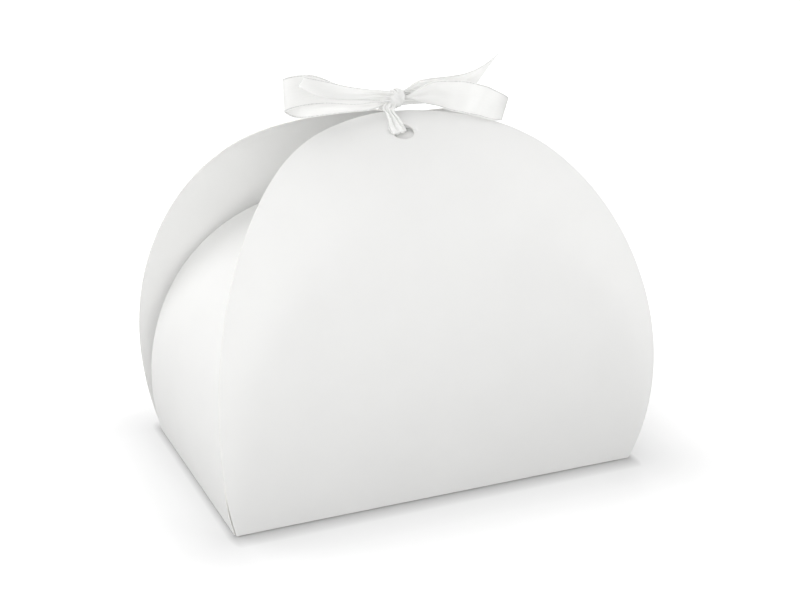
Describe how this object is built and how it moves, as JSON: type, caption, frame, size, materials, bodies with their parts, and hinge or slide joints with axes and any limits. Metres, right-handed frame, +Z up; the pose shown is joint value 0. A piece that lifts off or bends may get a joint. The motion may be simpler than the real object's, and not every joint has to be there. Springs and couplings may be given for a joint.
{
  "type": "favor box",
  "caption": "Folded white card favor box whose curved walls arch over and meet at the top, tied shut through punched holes with a satin ribbon bow.",
  "frame": {"origin": "centre of the base's underside, where the box stands on the table", "axes": "+X along the length of the box, -Y toward the front wall, +Z up"},
  "size_m": [0.1608, 0.1014, 0.1433],
  "materials": {
    "card": "matte",
    "ribbon": "satin"
  },
  "bodies": {
    "base": {"base_panel": "card"},
    "front": {"front_panel": "card", "front_lead": "ribbon", "knot": "ribbon"},
    "back": {"back_panel": "card", "back_lead": "ribbon", "inner_strand": "ribbon"},
    "left_flap": {"left_end_flap": "card"},
    "right_flap": {"right_end_flap": "card"},
    "left_bow": {"left_loop": "ribbon", "left_tail": "ribbon"},
    "right_bow": {"right_loop": "ribbon", "right_tail": "ribbon"}
  },
  "joints": [
    {"name": "front_fold", "type": "hinge", "parent": "base", "child": "front", "pos_m": [0, -0.046, 0.00022], "axis": [1, 0, 0], "range_deg": [0, 74]},
    {"name": "back_fold", "type": "hinge", "parent": "base", "child": "back", "pos_m": [0, 0.046, 0.00022], "axis": [-1, 0, 0], "range_deg": [0, 74]},
    {"name": "left_flap_fold", "type": "hinge", "parent": "base", "child": "left_flap", "pos_m": [-0.075, 0, 0.00022], "axis": [0, -1, 0], "range_deg": [0, 74]},
    {"name": "right_flap_fold", "type": "hinge", "parent": "base", "child": "right_flap", "pos_m": [0.075, 0, 0.00022], "axis": [0, 1, 0], "range_deg": [0, 74]},
    {"name": "left_bow_lift", "type": "hinge", "parent": "front", "child": "left_bow", "pos_m": [0.0015, -0.0025, 0.13184], "axis": [0, 1, 0], "range_deg": [0, 30]},
    {"name": "right_bow_lift", "type": "hinge", "parent": "front", "child": "right_bow", "pos_m": [0.0015, -0.0025, 0.13184], "axis": [0, -1, 0], "range_deg": [0, 30]}
  ]
}
